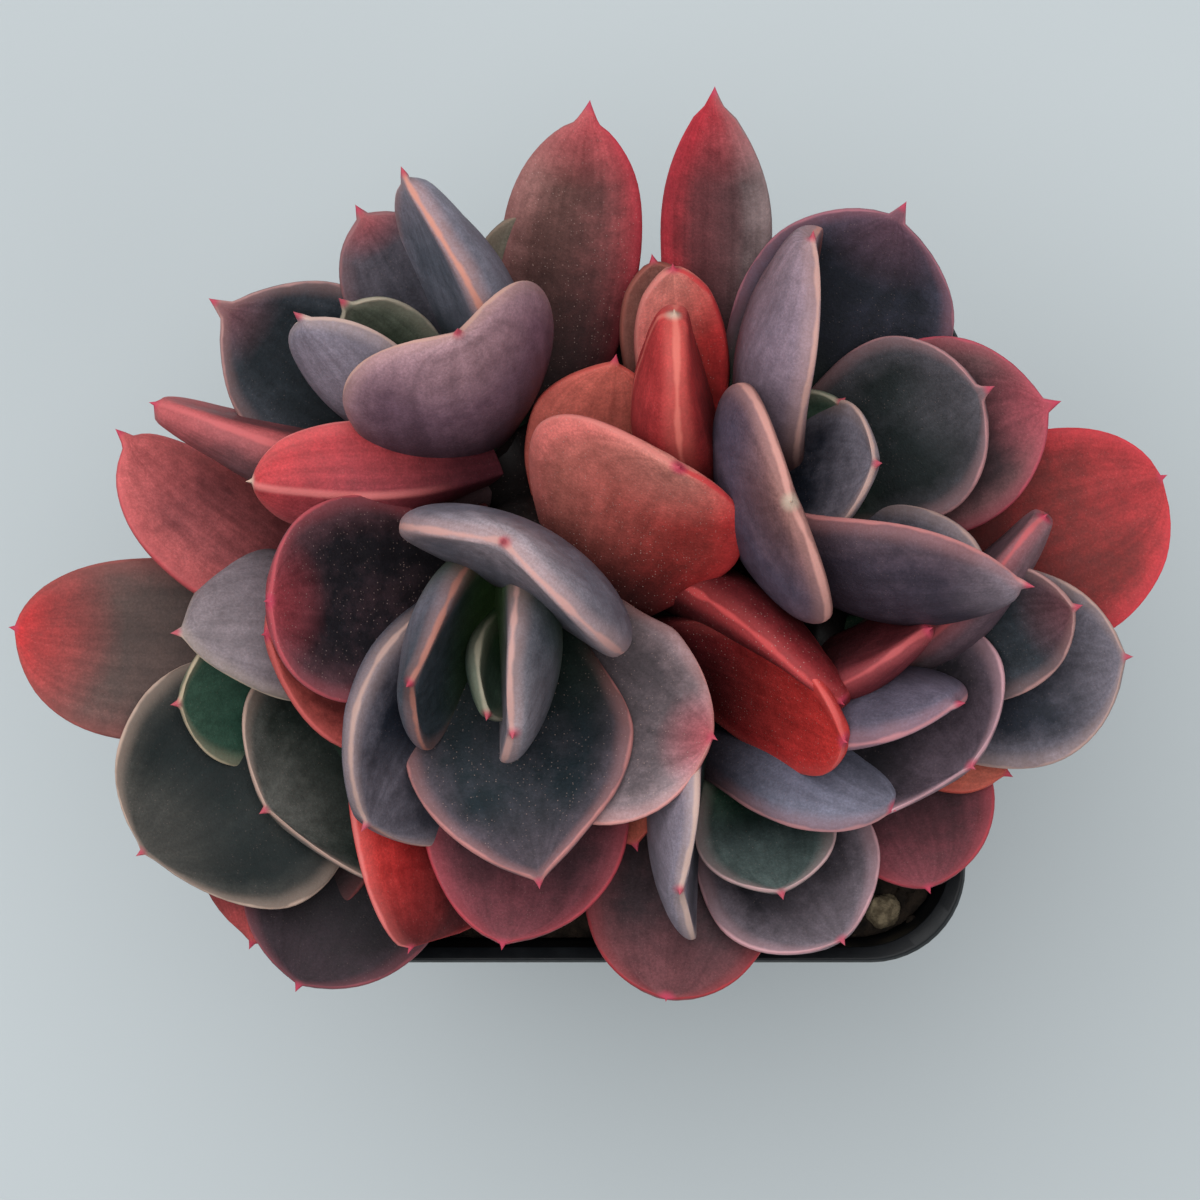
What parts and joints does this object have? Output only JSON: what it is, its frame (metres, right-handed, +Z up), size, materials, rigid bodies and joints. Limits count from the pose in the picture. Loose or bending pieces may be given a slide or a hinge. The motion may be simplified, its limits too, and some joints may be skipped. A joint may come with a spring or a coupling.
{
  "type": "potted echeveria",
  "caption": "Potted blue metal echeveria: a crowded clump of dark blue-green, lavender and red-flushed rosettes in a square black nursery pot with soil and grit.",
  "frame": {"origin": "centre of the pot's flat underside, on the surface it stands on", "axes": "+Z up out of the pot, +X to the right and +Y to the top of the picture, which looks down on the plant"},
  "size_m": [0.131, 0.1021, 0.124],
  "materials": {
    "leaf": "waxy satin",
    "pot": "satin black",
    "soil": "damp peat, rough",
    "grit": "dry, rough"
  },
  "bodies": {
    "root": {"pot": "pot", "rosette_front": "leaf", "rosette_upper_left": "leaf", "rosette_upper_right": "leaf", "rosette_lower_right": "leaf", "rosette_right": "leaf", "rosette_left": "leaf", "grit_corner_a": "grit", "grit_corner_b": "grit", "grit_corner_c": "grit", "grit_corner_d": "grit", "grit_edge_a": "grit", "grit_edge_b": "grit", "grit_edge_c": "grit", "grit_back_a": "grit", "grit_back_b": "grit", "grit_side_a": "grit", "soil": "soil"}
  },
  "joints": []
}
